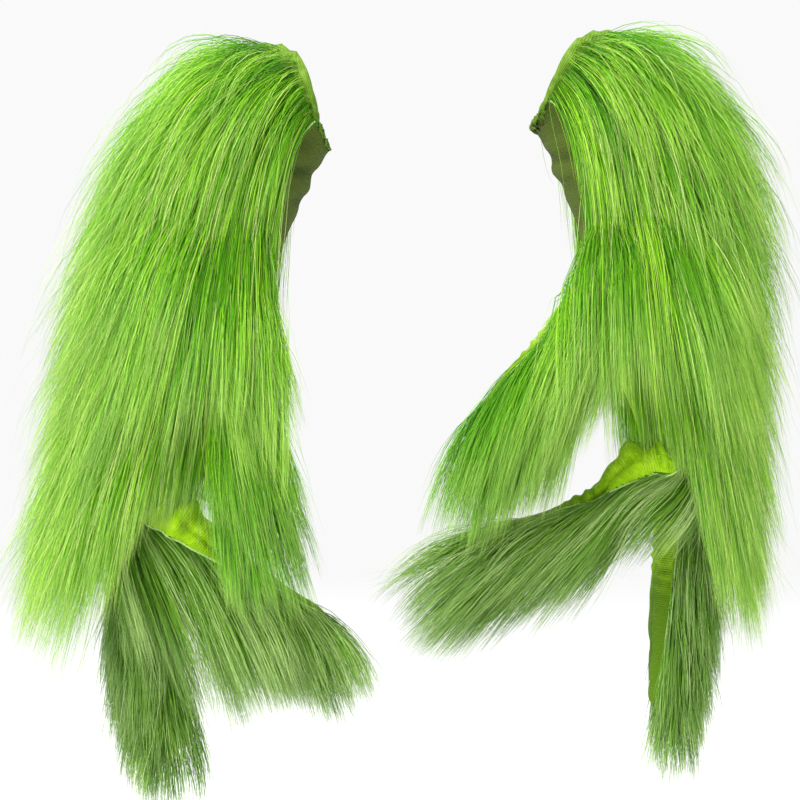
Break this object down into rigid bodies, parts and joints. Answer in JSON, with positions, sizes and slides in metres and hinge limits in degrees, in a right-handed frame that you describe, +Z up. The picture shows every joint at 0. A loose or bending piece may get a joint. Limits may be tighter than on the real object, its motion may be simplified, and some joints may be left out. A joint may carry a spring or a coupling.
{
  "type": "costume gloves",
  "caption": "Pair of forearm-length costume gloves: long bright green fake fur on the back, short ribbed plush on the palm side, folding fingers.",
  "frame": {"origin": "midway between the centres of the two cuff openings", "axes": "+Z up, +X from the wearer's right glove to the left one, -Y towards the thumbs' side"},
  "size_m": [0.4425, 0.1838, 0.4186],
  "materials": {
    "fur": "long glossy synthetic pile, paler at the tips",
    "backing_cloth": "matt knitted backing cloth",
    "plush": "short ribbed plush, matt",
    "seam_tape": "matt seam allowance with pale thread",
    "hem_cloth": "matt turned and stitched hem"
  },
  "bodies": {
    "held_sleeves": {"right_cuff_hem": "hem_cloth", "right_sleeve_back": "backing_cloth", "right_sleeve_palm": "plush", "right_side_seams": "seam_tape", "right_sleeve_pile": "fur", "left_cuff_hem": "hem_cloth", "left_sleeve_back": "backing_cloth", "left_sleeve_palm": "plush", "left_side_seams": "seam_tape", "left_sleeve_pile": "fur"},
    "right_thumb": {"right_thumb_back": "backing_cloth", "right_thumb_palm": "plush", "right_thumb_pile": "fur"},
    "right_index": {"right_index_back": "backing_cloth", "right_index_palm": "plush", "right_index_pile": "fur"},
    "right_middle": {"right_middle_back": "backing_cloth", "right_middle_palm": "plush", "right_middle_pile": "fur"},
    "right_ring": {"right_ring_back": "backing_cloth", "right_ring_palm": "plush", "right_ring_pile": "fur"},
    "right_little": {"right_little_back": "backing_cloth", "right_little_palm": "plush", "right_little_pile": "fur"},
    "left_thumb": {"left_thumb_back": "backing_cloth", "left_thumb_palm": "plush", "left_thumb_pile": "fur"},
    "left_index": {"left_index_back": "backing_cloth", "left_index_palm": "plush", "left_index_pile": "fur"},
    "left_middle": {"left_middle_back": "backing_cloth", "left_middle_palm": "plush", "left_middle_pile": "fur"},
    "left_ring": {"left_ring_back": "backing_cloth", "left_ring_palm": "plush", "left_ring_pile": "fur"},
    "left_little": {"left_little_back": "backing_cloth", "left_little_palm": "plush", "left_little_pile": "fur"}
  },
  "joints": [
    {"name": "right_thumb_fold", "type": "hinge", "parent": "held_sleeves", "child": "right_thumb", "pos_m": [-0.10519, -0.068, -0.13966], "axis": [0, -1, 0], "range_deg": [-20, 35]},
    {"name": "right_index_fold", "type": "hinge", "parent": "held_sleeves", "child": "right_index", "pos_m": [-0.163, -0.0405, -0.2335], "axis": [0, -1, 0], "range_deg": [-77, 13]},
    {"name": "right_middle_fold", "type": "hinge", "parent": "held_sleeves", "child": "right_middle", "pos_m": [-0.163, -0.0135, -0.2335], "axis": [0, -1, 0], "range_deg": [-28, 62]},
    {"name": "right_ring_fold", "type": "hinge", "parent": "held_sleeves", "child": "right_ring", "pos_m": [-0.163, 0.0135, -0.2335], "axis": [0, -1, 0], "range_deg": [-24, 66]},
    {"name": "right_little_fold", "type": "hinge", "parent": "held_sleeves", "child": "right_little", "pos_m": [-0.163, 0.0405, -0.2335], "axis": [0, -1, 0], "range_deg": [-20, 70]},
    {"name": "left_thumb_fold", "type": "hinge", "parent": "held_sleeves", "child": "left_thumb", "pos_m": [0.09246, -0.068, -0.11306], "axis": [0, 1, 0], "range_deg": [-49, 6]},
    {"name": "left_index_fold", "type": "hinge", "parent": "held_sleeves", "child": "left_index", "pos_m": [0.14, -0.0405, -0.2125], "axis": [0, 1, 0], "range_deg": [-82, 8]},
    {"name": "left_middle_fold", "type": "hinge", "parent": "held_sleeves", "child": "left_middle", "pos_m": [0.14, -0.0135, -0.2125], "axis": [0, 1, 0], "range_deg": [-19, 71]},
    {"name": "left_ring_fold", "type": "hinge", "parent": "held_sleeves", "child": "left_ring", "pos_m": [0.14, 0.0135, -0.2125], "axis": [0, 1, 0], "range_deg": [-18, 72]},
    {"name": "left_little_fold", "type": "hinge", "parent": "held_sleeves", "child": "left_little", "pos_m": [0.14, 0.0405, -0.2125], "axis": [0, 1, 0], "range_deg": [-17, 73]}
  ]
}
